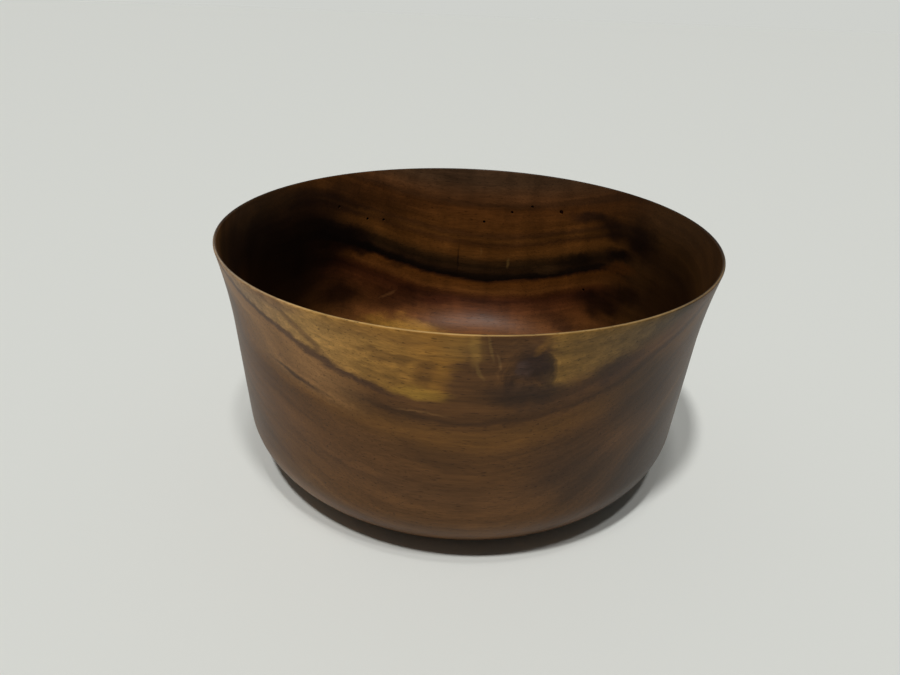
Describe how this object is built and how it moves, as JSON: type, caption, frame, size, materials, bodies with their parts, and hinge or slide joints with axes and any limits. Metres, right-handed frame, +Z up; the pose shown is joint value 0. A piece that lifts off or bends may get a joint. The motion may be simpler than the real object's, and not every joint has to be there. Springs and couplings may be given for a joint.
{
  "type": "flared bowl",
  "caption": "Round turned wooden bowl with a thin flared lip, nearly upright walls, a rounded lower edge and a flat standing ring, for serving or display.",
  "frame": {"origin": "centre of the foot, on the surface that the bowl stands on", "axes": "+Z up along the turning axis; -Y towards the side with the pale sapwood, which the picture looks at; +X to the right of that view"},
  "size_m": [0.2, 0.2, 0.096],
  "materials": {
    "oiled_wood": "satin rubbed oil on sanded side grain and end grain, brown heartwood with a golden sapwood patch at the front lip"
  },
  "bodies": {
    "root": {"bowl": "oiled_wood"}
  },
  "joints": []
}
